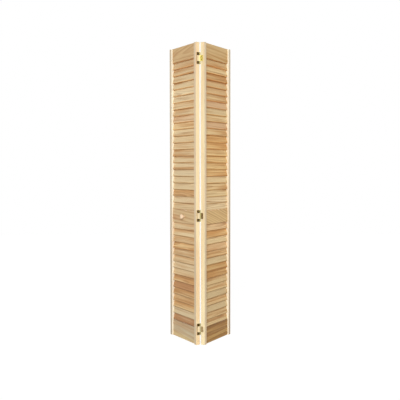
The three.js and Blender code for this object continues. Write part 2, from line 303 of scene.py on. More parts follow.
def vector(tree, operation, *values):
    made = add(tree, "ShaderNodeVectorMath", dict(enumerate(values)), operation=operation)
    return made.outputs["Value" if operation in ("LENGTH", "DOT_PRODUCT") else "Vector"]


def noise(tree, place, stretch, detail=2.0, roughness=0.5):
    """Noise from 0 to 1 that changes as often in each direction as its stretch says."""
    scaled = vector(tree, "MULTIPLY", place, stretch)
    made = add(
        tree,
        "ShaderNodeTexNoise",
        {"Vector": scaled, "Scale": 1.0, "Detail": detail, "Roughness": roughness},
    )
    return made.outputs["Fac"]


def ramp(tree, value, low, high, start=0.0, end=1.0):
    """A smooth rise from start to end as a value goes from low to high."""
    made = add(
        tree,
        "ShaderNodeMapRange",
        {"Value": value, "From Min": low, "From Max": high, "To Min": start, "To Max": end},
        interpolation_type="SMOOTHSTEP",
    )
    return made.outputs["Result"]


def mix(tree, share, one, other, blend="MIX"):
    inputs = dict(zip(MIX_INPUTS, (share, one, other)))
    return add(tree, "ShaderNodeMix", inputs, data_type="RGBA", blend_type=blend).outputs[MIX_OUTPUT]


def tinted(tree, share, colour, tint):
    """A colour multiplied by a tint, to the share given."""
    if isinstance(tint, tuple):
        tint = (*tint, 1.0)
    return mix(tree, share, colour, tint, blend="MULTIPLY")


def new_material(name):
    material = bpy.data.materials.new(name)
    material.use_nodes = True
    tree = material.node_tree
    shader = tree.nodes["Principled BSDF"]
    return material, tree, shader


def set_surface(tree, shader, colour, rough, relief, bump):
    """Links a shader to its colour, its roughness and a relief with that strength and depth of bumps."""
    strength, depth = bump
    bumps = add(tree, "ShaderNodeBump", {"Height": relief, "Strength": strength, "Distance": depth})
    tree.links.new(colour, shader.inputs["Base Color"])
    tree.links.new(rough, shader.inputs["Roughness"])
    tree.links.new(bumps.outputs["Normal"], shader.inputs["Normal"])


def place_in_log(tree, turn, start, varied):
    """Where in its log a point lies, with the grain along X and the pith at Y and Z of 0."""
    rotation = turn.to_euler("XYZ")
    whole = add(tree, "ShaderNodeTexCoord").outputs["Object"]
    moved = add(tree, "ShaderNodeMapping", {"Vector": whole, "Rotation": rotation, "Location": start})
    place = moved.outputs["Vector"]
    if varied:
        place = vector(tree, "ADD", place, attribute(tree, "log_place", "Vector"))
    return place


def late_wood(tree, place, spacing, taper, sway_stretch):
    """How much of a point is the dark late wood of a growth ring."""
    split = add(tree, "ShaderNodeSeparateXYZ", {"Vector": place}).outputs
    sway = noise(tree, place, sway_stretch, detail=3.0)
    wobble = noise(tree, place, WOBBLE)
    across = add(tree, "ShaderNodeCombineXYZ", {"Y": split["Y"], "Z": split["Z"]}).outputs["Vector"]
    radius = vector(tree, "LENGTH", across)
    for value, reach in ((split["X"], taper), (sway, SWAY_REACH), (wobble, WOBBLE_REACH)):
        radius = maths(tree, "ADD", radius, maths(tree, "MULTIPLY", value, reach))
    ring = maths(tree, "FRACT", maths(tree, "DIVIDE", radius, spacing))
    late = maths(tree, "MULTIPLY", ramp(tree, ring, *LATE_START), ramp(tree, ring, *LATE_END))
    strength = noise(tree, place, RING_STRENGTH, detail=1.0)
    return maths(tree, "MULTIPLY", late, ramp(tree, strength, *LATE_STRENGTH_RAMP))


def heartwood(tree, place, streak, heart, varied):
    """How much of a point is heartwood."""
    patch = noise(tree, place, PATCH, detail=1.0)
    mottle = maths(
        tree,
        "ADD",
        maths(tree, "MULTIPLY", patch, PATCH_SHARE),
        maths(tree, "MULTIPLY", streak, STREAK_SHARE),
    )
    if varied:
        share = attribute(tree, "heart_share", "Fac")
        mottle = maths(tree, "ADD", mottle, maths(tree, "MULTIPLY", share, SLAT_HEART_SHIFT))
        return ramp(tree, mottle, *SLAT_HEART_RAMP)
    return ramp(tree, mottle, *(value - heart * BOARD_HEART_SHIFT for value in BOARD_HEART_RAMP))


def tint_slat_and_paint_edges(tree, colour):
    """Gives a slat the tone that its mesh brings, and the painted shade and light that its mesh brings for
    its long edges.
    """
    colour = tinted(tree, 1.0, colour, attribute(tree, "board_tone", "Color"))
    edge = ramp(tree, maths(tree, "ABSOLUTE", attribute(tree, "edge_share", "Fac")), *SLAT_PAINTED_EDGE_SHARES)
    return tinted(tree, edge, colour, attribute(tree, "edge_light_and_shade", "Color"))


def tint_band(tree, colour, place, band):
    """Tints a board beyond a place across its grain."""
    edge, inside, tint = band
    across = add(tree, "ShaderNodeSeparateXYZ", {"Vector": place}).outputs["Z"]
    return tinted(tree, ramp(tree, across, edge, inside), colour, tint)


def paint_light_on_brinks(tree, colour, tint):
    """Paints light on what looks up or down."""
    normal = add(tree, "ShaderNodeTexCoord").outputs["Normal"]
    upright = add(tree, "ShaderNodeSeparateXYZ", {"Vector": normal}).outputs["Z"]
    return tinted(tree, ramp(tree, maths(tree, "ABSOLUTE", upright), *BRINK_LIGHT_RAMP), colour, tint)


def paint_shade_on_faces(tree, colour, face):
    """Paints shade on a board's broad sides, with one tint low down and another high up."""
    direction, high_painted_shade, low_painted_shade = face
    whole = add(tree, "ShaderNodeTexCoord").outputs
    facing = maths(tree, "ABSOLUTE", vector(tree, "DOT_PRODUCT", whole["Normal"], direction))
    height = add(tree, "ShaderNodeSeparateXYZ", {"Vector": whole["Object"]}).outputs["Z"]
    tint = mix(tree, ramp(tree, height, *FACE_SHADE_HEIGHTS), (*low_painted_shade, 1.0), (*high_painted_shade, 1.0))
    return tinted(tree, ramp(tree, facing, *FACE_SHADE_RAMP), colour, tint)


def wood(
    name, colours, turn=Matrix.Identity(3), start=(0, 0, 0), spacing=0.004, figure=0.6, taper=0.012,
    heart=0.4, lines=0.3, varied=False, band=None, brink_light=None, face=None,
):
    """Bare sanded pine, with growth rings, fibres, streaks and darker heartwood.

    The colours are those of sapwood, heartwood and late rings. The grain runs along X once turn is applied.
    Spacing is the width of a ring, taper how fast the log narrows along the grain, figure how dark late wood
    is, heart the share of heartwood, and lines the strength of the darkest streaks.
    With varied True, each board's mesh brings its own place in the log, its tone, its share of heartwood and
    the painted shade and light on its long edges.
    A band starts and is reached in full at two places across the grain, and has a tint.
    The brink tint is painted light on what looks up or down.
    A face is the direction that a board's broad sides look in, with the tint of the painted shade on them
    high up and low down.
    """
    material, tree, shader = new_material(name)
    place = place_in_log(tree, turn, start, varied)
    late = late_wood(tree, place, spacing, taper, SLAT_SWAY if varied else BOARD_SWAY)
    fibre = noise(tree, place, FIBRE, detail=3.0, roughness=0.65)
    streak = noise(tree, place, STREAK)

    sap_colour, heart_colour, late_colour = (linear(each) for each in colours)
    colour = mix(tree, heartwood(tree, place, streak, heart, varied), sap_colour, heart_colour)
    colour = mix(tree, maths(tree, "MULTIPLY", late, figure), colour, late_colour)
    colour = mix(tree, ramp(tree, streak, *STREAK_RAMP, end=lines), colour, late_colour)
    colour = mix(tree, ramp(tree, fibre, *FIBRE_RAMP), colour, late_colour)
    if varied:
        colour = tint_slat_and_paint_edges(tree, colour)
    if band:
        colour = tint_band(tree, colour, place, band)
    if brink_light:
        colour = paint_light_on_brinks(tree, colour, brink_light)
    if face:
        colour = paint_shade_on_faces(tree, colour, face)

    fibre_height = maths(tree, "MULTIPLY", fibre, FIBRE_RELIEF)
    relief = maths(tree, "ADD", fibre_height, maths(tree, "MULTIPLY", late, LATE_RELIEF))
    set_surface(tree, shader, colour, ramp(tree, fibre, *ROUGHNESS_RAMP), relief, WOOD_BUMP)
    shader.inputs["Specular IOR Level"].default_value = WOOD_SPECULAR
    return material


def plated(name, bright, dull, wear=0.5, roughness=0.3, knuckle_highlight=None, rim_reflection=None):
    """Thin brass plate, dulled in patches, with brighter rubbed spots.

    A knuckle colour is a painted highlight on what lies close to the hinge pin, and a rim colour a painted
    reflection on what lies far off.
    """
    material, tree, shader = new_material(name)
    place = add(tree, "ShaderNodeTexCoord").outputs["Object"]
    patches = noise(tree, place, TARNISH, detail=4.0, roughness=0.6)
    grains = noise(tree, place, GRAIN)
    scratches = noise(tree, place, SCRATCH)
    tarnish = ramp(tree, patches, wear - WEAR_HALF_WIDTH, wear + WEAR_HALF_WIDTH)
    colour = mix(tree, tarnish, linear(bright), linear(dull))
    distance = vector(tree, "LENGTH", vector(tree, "MULTIPLY", place, (1.0, 1.0, 0.0)))
    if rim_reflection:
        colour = mix(tree, ramp(tree, distance, *RIM_REFLECTION_DISTANCES), colour, linear(rim_reflection))
    if knuckle_highlight:
        colour = mix(tree, ramp(tree, distance, *KNUCKLE_HIGHLIGHT_DISTANCES), linear(knuckle_highlight), colour)
    colour = mix(tree, ramp(tree, grains, *GRAIN_RAMP), colour, linear(dull))
    rough = ramp(tree, patches, *PATCH_ROUGH_RAMP, roughness, roughness + PATCH_ROUGHNESS)
    rough = maths(tree, "ADD", rough, ramp(tree, scratches, *SCRATCH_RAMP))
    set_surface(tree, shader, colour, rough, scratches, BRASS_BUMP)
    shader.inputs["Metallic"].default_value = 1.0
    return material


def along_panel(side):
    """Turns the world's X to run along a panel at rest."""
    return panel_place(side).to_3x3().inverted()


def up_stile(side):
    """Turns a stile's length to X, with its face and edge across."""
    return Matrix.Rotation(QUARTER_TURN, 3, "Y") @ along_panel(side)


# Mesh drawing


def finished(name, mesh, side, material, slot, *nodes):
    """Makes a drawn mesh a piece of that panel, in place of the CAD nodes named."""
    piece = bpy.data.objects.new(name, mesh)
    bpy.context.scene.collection.objects.link(piece)
    piece.data.materials.clear()
    piece.data.materials.append(material)
    piece.matrix_world = panel_place(side)
    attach(piece, f"{side}_panel")
    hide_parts(*nodes)


def mesh_of(name, vertices, faces, smooth=False):
    mesh = bpy.data.meshes.new(name)
    mesh.from_pydata(vertices, [], faces)
    shape = bmesh.new()
    shape.from_mesh(mesh)
    bmesh.ops.recalc_face_normals(shape, faces=shape.faces)
    shape.to_mesh(mesh)
    shape.free()
    if smooth:
        mesh.shade_smooth()
    mesh.update()
    return mesh


def prism(name, outline, low, high, bands):
    """A closed solid from an outline of depth and height, along X from low to high, in that many bands."""
    count = len(outline)
    vertices = []
    for band in range(bands + 1):
        x = low + (high - low) * band / bands
        vertices += [(x, y, z) for y, z in outline]
    faces = [tuple(range(count)), tuple(range(bands * count, (bands + 1) * count))]
    for band in range(bands):
        first = band * count
        for i in range(count):
            j = (i + 1) % count
            faces.append((first + i, first + j, first + count + j, first + count + i))
    return mesh_of(name, vertices, faces)


def turned(name, profile, sides=ROUND_SIDES):
    """A solid of revolution about Z, from pairs of radius and height that start and end on the axis."""
    rings = profile[1:-1]
    vertices = [(0, 0, profile[0][1]), (0, 0, profile[-1][1])]
    for radius, height in rings:
        for i in range(sides):
            angle = 2 * math.pi * i / sides
            vertices.append((radius * math.cos(angle), radius * math.sin(angle), height))
    faces = []
    for i in range(sides):
        j = (i + 1) % sides
        faces.append((0, 2 + j, 2 + i))
        last = 2 + (len(rings) - 1) * sides
        faces.append((1, last + i, last + j))
        for ring in range(len(rings) - 1):
            first = 2 + ring * sides
            faces.append((first + i, first + j, first + sides + j, first + sides + i))
    return mesh_of(name, vertices, faces, smooth=True)


def joined(name, base, tool, operation):
    """The mesh that is left when one mesh is added to another or cut from it."""
    objects = [bpy.data.objects.new("work", mesh) for mesh in (base, tool)]
    for each in objects:
        bpy.context.scene.collection.objects.link(each)
    cut = objects[0].modifiers.new("cut", "BOOLEAN")
    cut.object = objects[1]
    cut.operation = operation
    cut.solver = "EXACT"
    bpy.context.view_layer.update()
    evaluated = objects[0].evaluated_get(bpy.context.evaluated_depsgraph_get())
    result = bpy.data.meshes.new_from_object(evaluated)
    result.name = name
    for each in objects:
        bpy.data.objects.remove(each)
    return result


def smoothed(mesh, degrees=30):
    """Shades a mesh smooth, apart from edges sharper than that."""
    mesh.shade_smooth()
    shape = bmesh.new()
    shape.from_mesh(mesh)
    limit = math.radians(degrees)
    for edge in shape.edges:
        edge.smooth = len(edge.link_faces) == 2 and edge.calc_face_angle() < limit
    shape.to_mesh(mesh)
    shape.free()
    return mesh


def plate(name, outline, holes, thickness):
    """A flat plate of that thickness in the XY plane, with softened edges and round holes."""
    curve = bpy.data.curves.new(name, "CURVE")
    curve.dimensions = "2D"
    curve.fill_mode = "BOTH"
    curve.extrude = thickness / 2 - LEAF_EDGE
    curve.bevel_depth = LEAF_EDGE
    curve.bevel_resolution = LEAF_EDGE_STEPS
    curve.offset = -LEAF_EDGE
    rings = [outline]
    for x, y, radius in holes:
        angles = [2 * math.pi * i / ROUND_SIDES for i in range(ROUND_SIDES)]
        rings.append([(x + radius * math.cos(a), y + radius * math.sin(a)) for a in angles])
    for ring in rings:
        spline = curve.splines.new("POLY")
        spline.points.add(len(ring) - 1)
        for point, (x, y) in zip(spline.points, ring):
            point.co = (x, y, 0, 1)
        spline.use_cyclic_u = True
    drawn = bpy.data.objects.new(name, curve)
    bpy.context.scene.collection.objects.link(drawn)
    bpy.context.view_layer.update()
    evaluated = drawn.evaluated_get(bpy.context.evaluated_depsgraph_get())
    mesh = bpy.data.meshes.new_from_object(evaluated)
    bpy.data.objects.remove(drawn)
    shape = bmesh.new()
    shape.from_mesh(mesh)
    bmesh.ops.remove_doubles(shape, verts=shape.verts, dist=MERGE_DISTANCE)
    bmesh.ops.recalc_face_normals(shape, faces=shape.faces)
    shape.to_mesh(mesh)
    shape.free()
    return mesh


def corner(x, y, radius, start, steps=5):
    """Points of a quarter round about a centre, from a start angle in degrees, anticlockwise."""
    turns = [math.radians(start + 90 * i / steps) for i in range(steps + 1)]
    return [(x + radius * math.cos(a), y + radius * math.sin(a)) for a in turns]


# Boards

# Each stile's colours, the painted shade on its faces high up and low down, and its place in the log, from 0
# to 1
STILES = {
    "left_hinge_stile": (
        ((230, 210, 166), (231, 196, 156), (212, 170, 124)), (0.93, 0.94, 1.08), (0.78, 0.8, 0.92), 0.31,
    ),
    "left_outer_stile": (
        ((240, 234, 214), (233, 217, 189), (217, 189, 156)), (0.72, 0.63, 0.53), (0.535, 0.47, 0.405), 0.47,
    ),
    "right_hinge_stile": (
        ((228, 213, 172), (230, 200, 162), (210, 174, 130)), (1.01, 0.98, 1.07), (0.92, 0.88, 0.93), 0.62,
    ),
    "right_outer_stile": (
        ((237, 227, 203), (229, 209, 176), (212, 182, 144)), (0.79, 0.735, 0.68), (0.55, 0.45, 0.38), 0.83,
    ),
}
STILE_GRAIN = {"spacing": 0.011, "taper": 0.003, "figure": 0.45, "heart": 0.3, "lines": 0.5}

# The stiles' log: its length, how far before the door the pith is at place 0, how much further at place 1,
# and how far aside it is
STILE_LOG_LENGTH = 9
STILE_PITH_BEFORE = 0.06
STILE_PITH_SPREAD = 0.1
STILE_PITH_ASIDE = 0.02

# Each rail's colours, the slant of its grain in degrees, how far the pith lies before and below its middle,
# and its grain
RAILS = {
    "left_top_rail": (
        ((212, 180, 131), (195, 151, 101), (162, 112, 65)), 6, (0.03, 0.0),
        {"spacing": 0.017, "taper": -0.09, "figure": 0.5, "heart": 0.45},
    ),
    "left_middle_rail": (
        ((213, 185, 139), (200, 155, 107), (158, 110, 67)), -2, (0.03, 0.05),
        {"spacing": 0.022, "taper": 0.03, "figure": 0.5, "heart": 0.42},
    ),
    "left_bottom_rail": (
        ((197, 182, 149), (185, 152, 113), (160, 127, 90)), -3, (0.03, 0.08),
        {"spacing": 0.026, "taper": 0.01, "figure": 0.35, "heart": 0.6},
    ),
    "right_top_rail": (
        ((216, 183, 129), (198, 153, 92), (160, 110, 54)), -4, (0.03, -0.05),
        {"spacing": 0.021, "taper": 0.02, "figure": 0.35, "heart": 0.5},
    ),
    "right_middle_rail": (
        ((222, 188, 131), (205, 160, 99), (142, 94, 44)), -18, (0.02, 0.075),
        {"spacing": 0.0145, "taper": 0.01, "figure": 0.7, "heart": 0.4},
    ),
    "right_bottom_rail": (
        ((199, 161, 100), (156, 111, 57), (108, 70, 29)), 1, (0.05, 0.122),
        {"spacing": 0.042, "taper": 0.02, "figure": 0.6, "heart": 0.95},
    ),
}

# How far apart the rails' places in the log are, and where the first one is
RAIL_LOG_STEP = 1.7
RAIL_LOG_START = 0.4

# Painted light on the rails' upper and lower edges: a warm tint that lightens them
RAIL_EDGE_PAINTED_LIGHT = (1.25, 1.05, 0.85)

# The band along the foot of a rail: how far above the pith it starts and is reached in full, and its tint
RAIL_BANDS = {
    "left_bottom_rail": (0.058, 0.046, (1.12, 1.05, 0.87)),
    "right_bottom_rail": (0.127, 0.1, (1.1, 1.19, 1.22)),
}

DOWEL_COLOURS = ((226, 200, 160), (214, 184, 142), (190, 152, 104))


def paint_stiles():
    for name, (colours, high_painted_shade, low_painted_shade, place) in STILES.items():
        side = name.split("_")[0]
        front = panel_place(side).to_3x3() @ Vector((0, -1, 0))
        before = STILE_PITH_BEFORE + place * STILE_PITH_SPREAD
        start = (place * STILE_LOG_LENGTH, before, STILE_PITH_ASIDE)
        # The painted shade on the stile's broad faces, darker low down
        face = (front, high_painted_shade, low_painted_shade)
        material = wood(name + "_wood", colours, up_stile(side), start, face=face, **STILE_GRAIN)
        frame["nodes"][name].material_slots[0].material = material


def paint_rails():
    for number, (name, (colours, slant, pith, grain)) in enumerate(RAILS.items()):
        turn = Matrix.Rotation(math.radians(slant), 3, "Y") @ along_panel(name.split("_")[0])
        low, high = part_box(name)
        start = Vector((RAIL_LOG_STEP * number + RAIL_LOG_START, *pith)) - turn @ ((low + high) / 2)
        material = wood(
            name + "_wood", colours, turn, start, band=RAIL_BANDS.get(name), brink_light=RAIL_EDGE_PAINTED_LIGHT, **grain,
        )
        frame["nodes"][name].material_slots[0].material = material


def paint_dowels():
    material = wood("dowel_wood", DOWEL_COLOURS, along_panel("left"))
    for name, node in frame["nodes"].items():
        if "_dowel_" in name:
            node.material_slots[0].material = material


# Slats

# The colours of the slats' wood, and the strength of its darkest streaks
SLAT_COLOURS = ((232, 209, 165), (206, 163, 112), (152, 106, 61))
SLAT_LINES = 0.55

# Each tone's share of heartwood and its tint
TONES = {
    "straw": (0.36, (0.98, 0.98, 0.98)),
    "cream": (0.05, (1.02, 1.03, 1.06)),
    "pearl": (0.02, (1.05, 1.08, 1.2)),
    "butter": (0.2, (1.02, 0.96, 0.86)),
    "grey": (0.05, (0.89, 0.9, 0.93)),
    "peach": (0.38, (1.0, 0.93, 0.94)),
    "rose": (0.4, (0.88, 0.77, 0.8)),
    "tan": (0.45, (0.95, 0.92, 0.89)),
    "sand": (0.45, (0.95, 0.88, 0.84)),
    "gold": (0.55, (1.03, 0.96, 0.83)),
    "amber": (0.38, (1.09, 1.02, 0.87)),
    "honey": (0.65, (0.95, 0.89, 0.8)),
    "ochre": (0.65, (0.92, 0.84, 0.7)),
    "russet": (0.8, (0.84, 0.74, 0.72)),
}

# The tint of all slats of a panel
SIDE_TINTS = {"left": (1.02, 1.02, 1.01), "right": (1.03, 0.99, 0.87)}

# What chance adds: the range of a slat's shade, and how far its share of heartwood may be off
SHADE_RANGE = (0.97, 1.02)
HEART_SPREAD = 0.07

# The slats' log: its length, and how far from the pith they may be cut
SLAT_LOG_LENGTH = 40
SLAT_LOG_REACH = 0.09

# The tone of each slat that isn't straw, by its number from the top of each panel
SLAT_TONES = {
    "left": {
        "cream": (5, 6, 21, 29),
        "butter": (10,),
        "grey": (17, 36),
        "peach": (9,),
        "tan": (1, 2, 7, 12, 14, 22, 25, 27, 28, 30),
        "gold": (26, 35),
        "honey": (20, 31, 33, 34),
        "russet": (32, 37),
    },
    "right": {
        "cream": (18, 25),
        "pearl": (21, 22),
        "butter": (14,),
        "grey": (8, 28, 33, 35),
        "peach": (23, 26),
        "rose": (7, 10),
        "tan": (1, 6, 19, 27, 31, 32, 34, 36, 37),
        "sand": (4, 5),
        "gold": (15, 16, 17, 24),
        "amber": (12, 13),
        "honey": (3,),
        "ochre": (29, 30),
    },
}

# How far up or down a slat the painted shade and light on its long edges starts and is reached in full
SLAT_PAINTED_EDGE_SHARES = (0.7, 0.97)

# Painted shade and light on each panel's upper slat edges and on its lower ones, at the foot of the door and
# at its head: dark shade low down, lighter high up
SLAT_EDGE_PAINTED_LIGHT_AND_SHADE = {
    "left": (((0.2, 0.15, 0.1), (1.92, 1.56, 1.15)), ((0.28, 0.22, 0.15), (1.44, 1.22, 0.94))),
    "right": (((0.5, 0.41, 0.28), (1.92, 1.56, 1.13)), ((0.59, 0.5, 0.36), (1.4, 1.19, 0.9))),
}

# The slats darken a little from this number down to the last
SHADE_START = 26
LOWEST_SHADE = 0.93

# What each kind of mesh attribute calls its values
ATTRIBUTE_FIELDS = {"FLOAT": "value", "FLOAT_VECTOR": "vector", "FLOAT_COLOR": "color"}


def slat_outline(middle, centre):
    """The outline of depth and height of a slat with round noses, with its lower edge forward."""
    reach = (SLAT_WIDTH - SLAT_THICKNESS) / 2
    outline = []
    for end in (1, -1):
        nose_y = middle + end * reach * math.sin(SLAT_TILT)
        nose_z = centre + end * reach * math.cos(SLAT_TILT)
        for step in range(SLAT_NOSE_STEPS + 1):
            angle = math.pi * step / SLAT_NOSE_STEPS - SLAT_TILT + (math.pi if end < 0 else 0)
            y = nose_y + SLAT_THICKNESS / 2 * math.cos(angle)
            z = nose_z + SLAT_THICKNESS / 2 * math.sin(angle)
            outline.append((y, z))
    return outline


def slat_tone(side, number, dice):
    """A slat's share of heartwood and its tint."""
    heart, tint = TONES["straw"]
    for tone, numbers in SLAT_TONES[side].items():
        if number in numbers:
            heart, tint = TONES[tone]
    depth = max(0, number - SHADE_START) / (SLATS_PER_PANEL - SHADE_START)
    shade = dice.uniform(*SHADE_RANGE) * (1 + (LOWEST_SHADE - 1) * depth)
    heart += dice.uniform(-HEART_SPREAD, HEART_SPREAD)
    return heart, (*(own * common * shade for own, common in zip(tint, SIDE_TINTS[side])), 1.0)


def slat_centres(side, node):
    """Heights of the slats that a CAD node joins, from the top down."""
    low, high = shut_box(side, node)
    rise = (SLAT_WIDTH - SLAT_THICKNESS) * math.cos(SLAT_TILT) + SLAT_THICKNESS
    reach = high.z - low.z - rise
    count = round(reach / SLAT_SPACING) + 1
    return [high.z - rise / 2 - reach * i / (count - 1) for i in range(count)]


def painted_edge_light_and_shade(side, height):
    """The painted shade and light on a slat's upper and lower edge, at a share of the door's height."""
    return [
        (*(foot + (head - foot) * height for foot, head in zip(*tints)), 1.0) for tints in SLAT_EDGE_PAINTED_LIGHT_AND_SHADE[side]
    ]


def give_points(mesh, name, kind, values):
    """Gives the points of a mesh an attribute for its material to read, from its values in a row."""
    points = mesh.attributes.new(name, kind, "POINT")
    points.data.foreach_set(ATTRIBUTE_FIELDS[kind], values)


def give_slat_looks(mesh, side, centre, shift, heart, tint):
    """Gives a slat its place in the log, its share of heartwood, its tone and the painted shade and light on
    its long edges.
    """
    count = len(mesh.vertices)
    half = SLAT_WIDTH / 2 * math.cos(SLAT_TILT)
    heights = [vertex.co.z - centre for vertex in mesh.vertices]
    upper, lower = painted_edge_light_and_shade(side, centre / cad_box[1][2])
    edges = [level for height in heights for level in (upper if height > 0 else lower)]
    give_points(mesh, "log_place", "FLOAT_VECTOR", shift * count)
    give_points(mesh, "board_tone", "FLOAT_COLOR", tint * count)
    give_points(mesh, "heart_share", "FLOAT", (heart,) * count)
    give_points(mesh, "edge_share", "FLOAT", [height / half for height in heights])
    give_points(mesh, "edge_light_and_shade", "FLOAT_COLOR", edges)


def build_slats(material):
    """Each slat of the louvres, as a piece of its own."""
    for side in SIDES:
        dice = random.Random(f"{side} slats")
        groups = [node for node in frame["nodes"] if node.startswith(side) and "_louvres_" in node]
        groups.sort(key=lambda node: ("_lower_" in node, node))
        slats = [(node, centre) for node in groups for centre in slat_centres(side, node)]
        for number, (node, centre) in enumerate(slats, 1):
            name = f"{side}_slat_{number:02d}"
            low, high = shut_box(side, node)
            outline = slat_outline((low.y + high.y) / 2, centre)
            mesh = prism(name, outline, low.x, high.x, SLAT_BANDS)
            shift = (
                dice.uniform(0, SLAT_LOG_LENGTH),
                dice.uniform(-SLAT_LOG_REACH, SLAT_LOG_REACH),
                dice.uniform(-SLAT_LOG_REACH, SLAT_LOG_REACH) - centre,
            )
            heart, tint = slat_tone(side, number, dice)
            give_slat_looks(mesh, side, centre, shift, heart, tint)
            finished(name, mesh, side, material, "slat_pine", node)


# Hinges

PIN_SETBACK = BARREL_RADIUS + BARREL_GAP
LEAF_SEAT = PANEL_GAP / 2 - SEAT_GAP
LEAF_FACE = LEAF_SEAT - LEAF_THICKNESS
INNER_HEIGHT = HINGE_HEIGHT - 2 * TAB_HEIGHT - 2 * NEST_GAP
INNER_WIDTH = LEAF_WIDTH - BAR_WIDTH - NEST_GAP

# How far from its middle an inner leaf's screws are, as a share of its height
INNER_SCREW_SHARE = 0.27

# The hinges' brass: bright and dulled plate, how much is bright, its roughness, and its colours near the
# pin, a painted highlight, and far from it, a painted reflection
PLATES = {
    "outer_leaf": {
        "bright": (116, 88, 44), "dull": (52, 36, 16), "wear": 0.42, "roughness": 0.34,
        "knuckle_highlight": (176, 164, 108), "rim_reflection": (160, 126, 84),
    },
    # Each inner leaf's brass colour is partly its own and partly painted reflection: golden at the top
    # hinge, dark brown at the middle, tan at the bottom
    "top_inner_leaf": {"bright": (234, 216, 124), "dull": (204, 180, 86), "knuckle_highlight": (214, 200, 116)},
    "middle_inner_leaf": {"bright": (158, 132, 90), "dull": (96, 70, 42), "knuckle_highlight": (184, 172, 112)},
    "bottom_inner_leaf": {"bright": (204, 180, 138), "dull": (156, 128, 90), "knuckle_highlight": (186, 172, 128)},
    "pin": {"bright": (196, 182, 124), "dull": (128, 108, 62)},
    "screw": {"bright": (176, 152, 78), "dull": (84, 62, 28), "wear": 0.48},
}


def stand_plate(mesh, side):
    """Turns a plate from the XY plane into the gap between the stiles, with X as the way to the front."""
    middle = SIDES[side] * (LEAF_SEAT + LEAF_FACE) / 2
    turn = Matrix(((0, 0, 1, middle), (-1, 0, 0, 0), (0, 1, 0, 0), (0, 0, 0, 1)))
    mesh.transform(turn)
    if turn.determinant() < 0:
        mesh.flip_normals()
    return mesh


def tube(low, high):
    """One knuckle of the barrel."""
    profile = [
        (0, low),
        (BARREL_RADIUS - LEAF_EDGE, low),
        (BARREL_RADIUS, low + LEAF_EDGE),
        (BARREL_RADIUS, high - LEAF_EDGE),
        (BARREL_RADIUS - LEAF_EDGE, high),
        (0, high),
    ]
    return turned("knuckle_highlight", profile)


def bored(mesh, name):
    """Cuts the pin's bore through a leaf's knuckles."""
    reach = HINGE_HEIGHT
    radius = PIN_RADIUS + PIN_GAP
    bore = turned("bore", [(0, -reach), (radius, -reach), (radius, reach), (0, reach)])
    return joined(name, mesh, bore, "DIFFERENCE")


def outer_leaf_outline():
    far = PIN_SETBACK + LEAF_WIDTH
    bar = far - BAR_WIDTH
    half = HINGE_HEIGHT / 2
    window = half - TAB_HEIGHT
    return (
        [(0, -half)]
        + corner(far - LEAF_CORNER, -half + LEAF_CORNER, LEAF_CORNER, -90)
        + corner(far - LEAF_CORNER, half - LEAF_CORNER, LEAF_CORNER, 0)
        + [(0, half), (0, window)]
        + corner(bar - WINDOW_CORNER, window - WINDOW_CORNER, WINDOW_CORNER, 0)[::-1]
        + corner(bar - WINDOW_CORNER, -window + WINDOW_CORNER, WINDOW_CORNER, -90)[::-1]
        + [(0, -window)]
    )


def inner_leaf_outline():
    far = PIN_SETBACK + INNER_WIDTH
    half = INNER_HEIGHT / 2
    return (
        [(0, -half)]
        + corner(far - LEAF_CORNER, -half + LEAF_CORNER, LEAF_CORNER, -90)
        + corner(far - LEAF_CORNER, half - LEAF_CORNER, LEAF_CORNER, 0)
        + [(0, half)]
    )


def build_leaf(hinge, side, material):
    """The outer leaf on the left panel, or the inner one on the right."""
    outer = side == "left"
    half = HINGE_HEIGHT / 2
    window = half - TAB_HEIGHT
    if outer:
        outline, offset, depth = outer_leaf_outline(), (HINGE_HEIGHT - TAB_HEIGHT) / 2, LEAF_WIDTH / 2
        knuckles = [(-half, -window), (window, half)]
    else:
        outline, offset, depth = inner_leaf_outline(), INNER_HEIGHT * INNER_SCREW_SHARE, INNER_WIDTH / 2
        knuckles = [(-INNER_HEIGHT / 2, INNER_HEIGHT / 2)]
    radius = SCREW_HEAD_RADIUS + SCREW_GAP
    holes = [(PIN_SETBACK + depth, sign * offset, radius) for sign in (1, -1)]
    name = f"{hinge}_hinge_{'outer' if outer else 'inner'}_leaf"
    mesh = stand_plate(plate(name, outline, holes, LEAF_THICKNESS), side)
    for low, high in knuckles:
        mesh = joined(name, mesh, tube(low, high), "UNION")
    mesh = smoothed(bored(mesh, name))
    low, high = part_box(name)
    mesh.transform(Matrix.Translation((0, 0, (low.z + high.z) / 2)))
    finished(name + "_plate", mesh, side, material, "hinge_brass", name)


def build_pin(hinge, material):
    """A pin with a head at each end, with slightly domed faces."""
    node = f"{hinge}_hinge_pin"
    low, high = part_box(node)
    end_radius = PIN_HEAD_RADIUS * PIN_HEAD_TAPER
    dome = PIN_HEAD_HEIGHT / 3
    profile = [
        (0, low.z),
        (end_radius, low.z),
        (PIN_HEAD_RADIUS, low.z + dome),
        (PIN_HEAD_RADIUS, low.z + PIN_HEAD_HEIGHT),
        (PIN_RADIUS, low.z + PIN_HEAD_HEIGHT),
        (PIN_RADIUS, high.z - PIN_HEAD_HEIGHT),
        (PIN_HEAD_RADIUS, high.z - PIN_HEAD_HEIGHT),
        (PIN_HEAD_RADIUS, high.z - dome),
        (end_radius, high.z),
        (0, high.z),
    ]
    finished(f"{hinge}_pin", smoothed(turned(node, profile)), "left", material, "hinge_brass", node)


def cross_slots(size, top):
    """Two crossed bars that cut a screw's drive into its head."""
    length, width, depth = size
    bars = []
    for reach_x, reach_y in ((length / 2, width / 2), (width / 2, length / 2)):
        bars.append([(x * reach_x, y * reach_y) for x, y in ((-1, -1), (1, -1), (1, 1), (-1, 1))])
    meshes = []
    for bar in bars:
        vertices = [(x, y, top - depth) for x, y in bar] + [(x, y, top + depth) for x, y in bar]
        faces = [(0, 1, 2, 3), (4, 5, 6, 7)] + [(i, (i + 1) % 4, (i + 1) % 4 + 4, i + 4) for i in range(4)]
        meshes.append(mesh_of("slot", vertices, faces))
    return meshes


